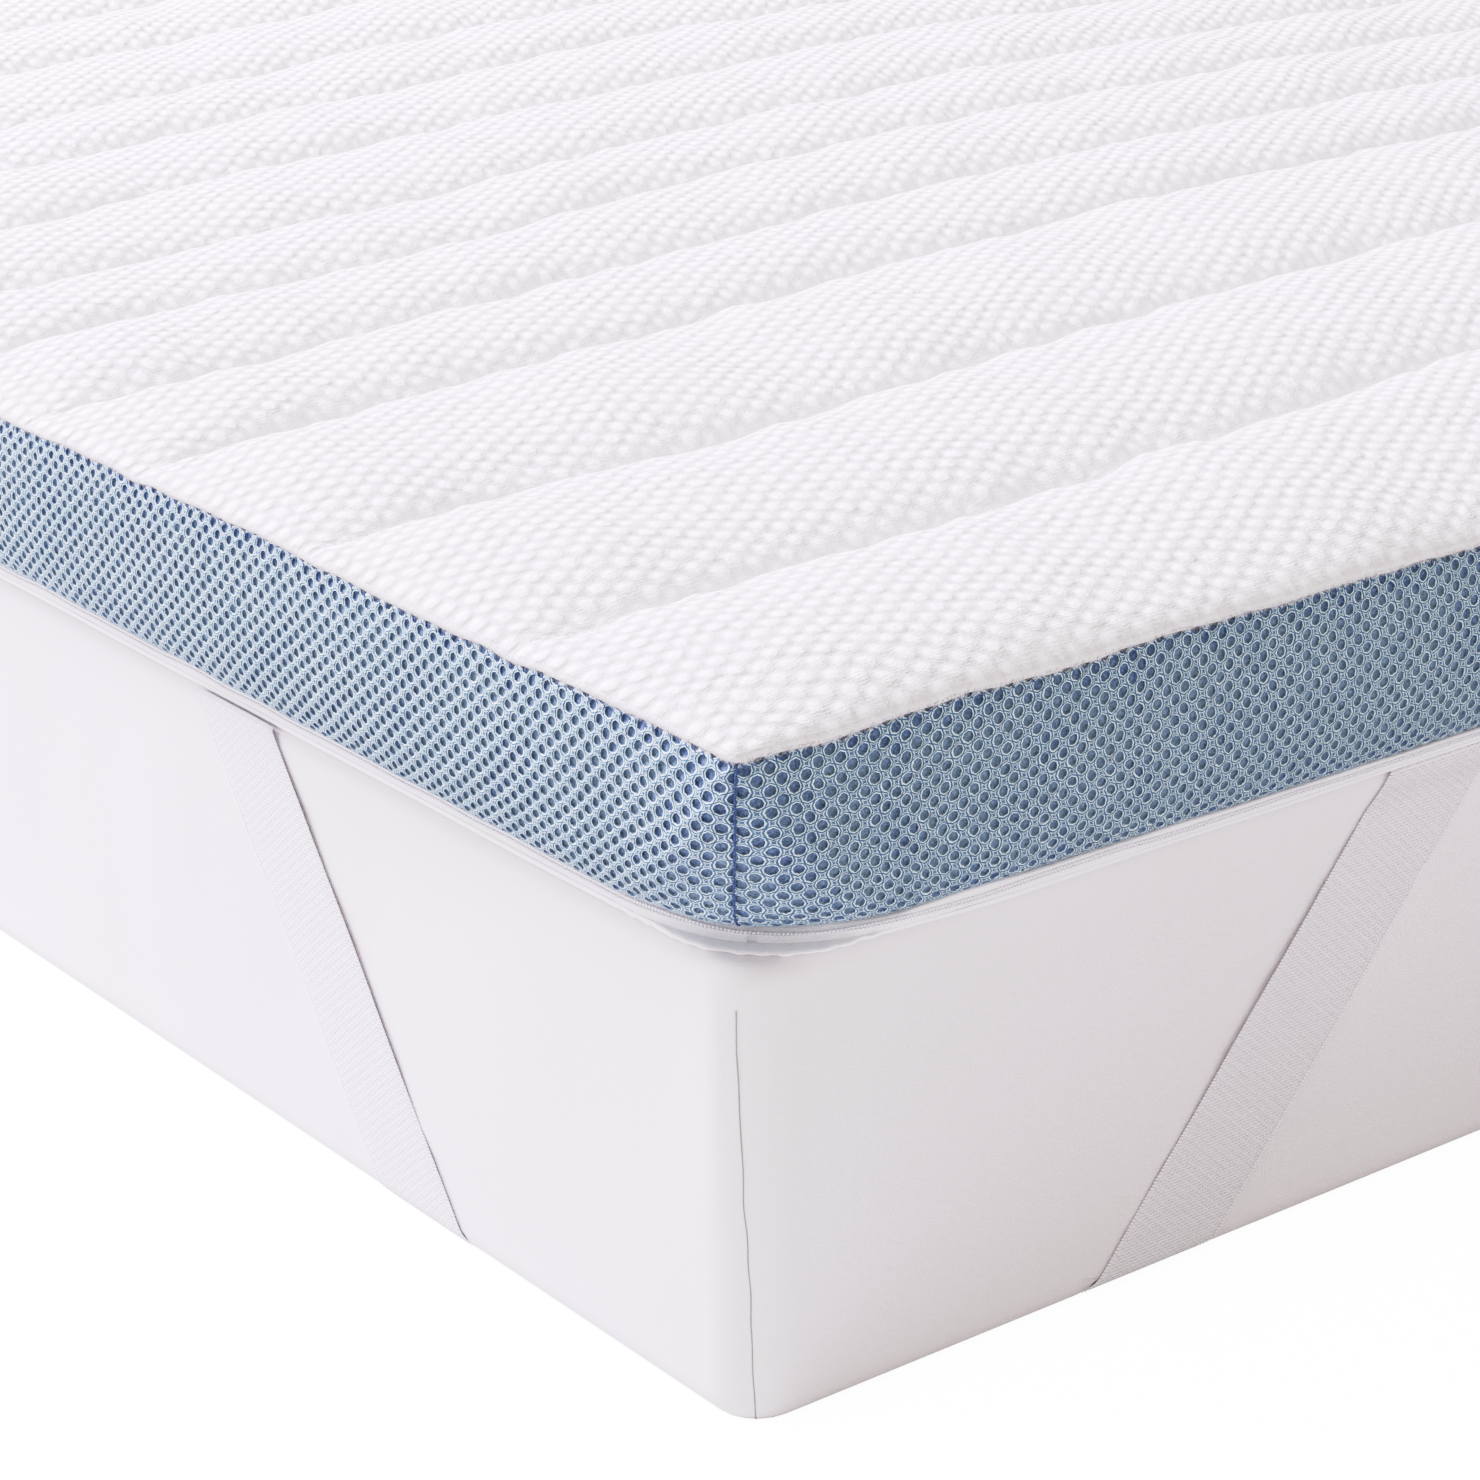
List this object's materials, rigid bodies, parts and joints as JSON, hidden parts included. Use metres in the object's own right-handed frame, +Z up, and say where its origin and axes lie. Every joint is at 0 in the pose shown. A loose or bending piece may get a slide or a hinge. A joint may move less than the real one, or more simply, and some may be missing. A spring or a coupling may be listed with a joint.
{
  "type": "mattress topper on mattress",
  "caption": "Quilted mattress topper with an open mesh side band, a closed zip and elastic corner straps, fitted on a plain mattress.",
  "frame": {"origin": "middle of the footprint, on the underside of the mattress", "axes": "+Z up, +Y along the bed from the front end to the back end, +X across the bed; the quilting channels run along X"},
  "size_m": [1.4156, 2.0132, 0.3178],
  "materials": {
    "knit": "matt white popcorn knit",
    "mesh": "blue open spacer mesh",
    "tape": "white woven zip tape",
    "coil": "white nylon coil",
    "panel": "white plain weave",
    "elastic": "white woven elastic",
    "ticking": "white plain ticking"
  },
  "bodies": {
    "root": {"mattress": "ticking", "quilted_pad": "knit", "band_front": "mesh", "band_right": "mesh", "band_back": "mesh", "band_left": "mesh", "zip_tape": "tape", "zip_coil": "coil", "base_panel": "panel", "strap_front_left": "elastic", "strap_front_right": "elastic", "strap_back_left": "elastic", "strap_back_right": "elastic"}
  },
  "joints": []
}
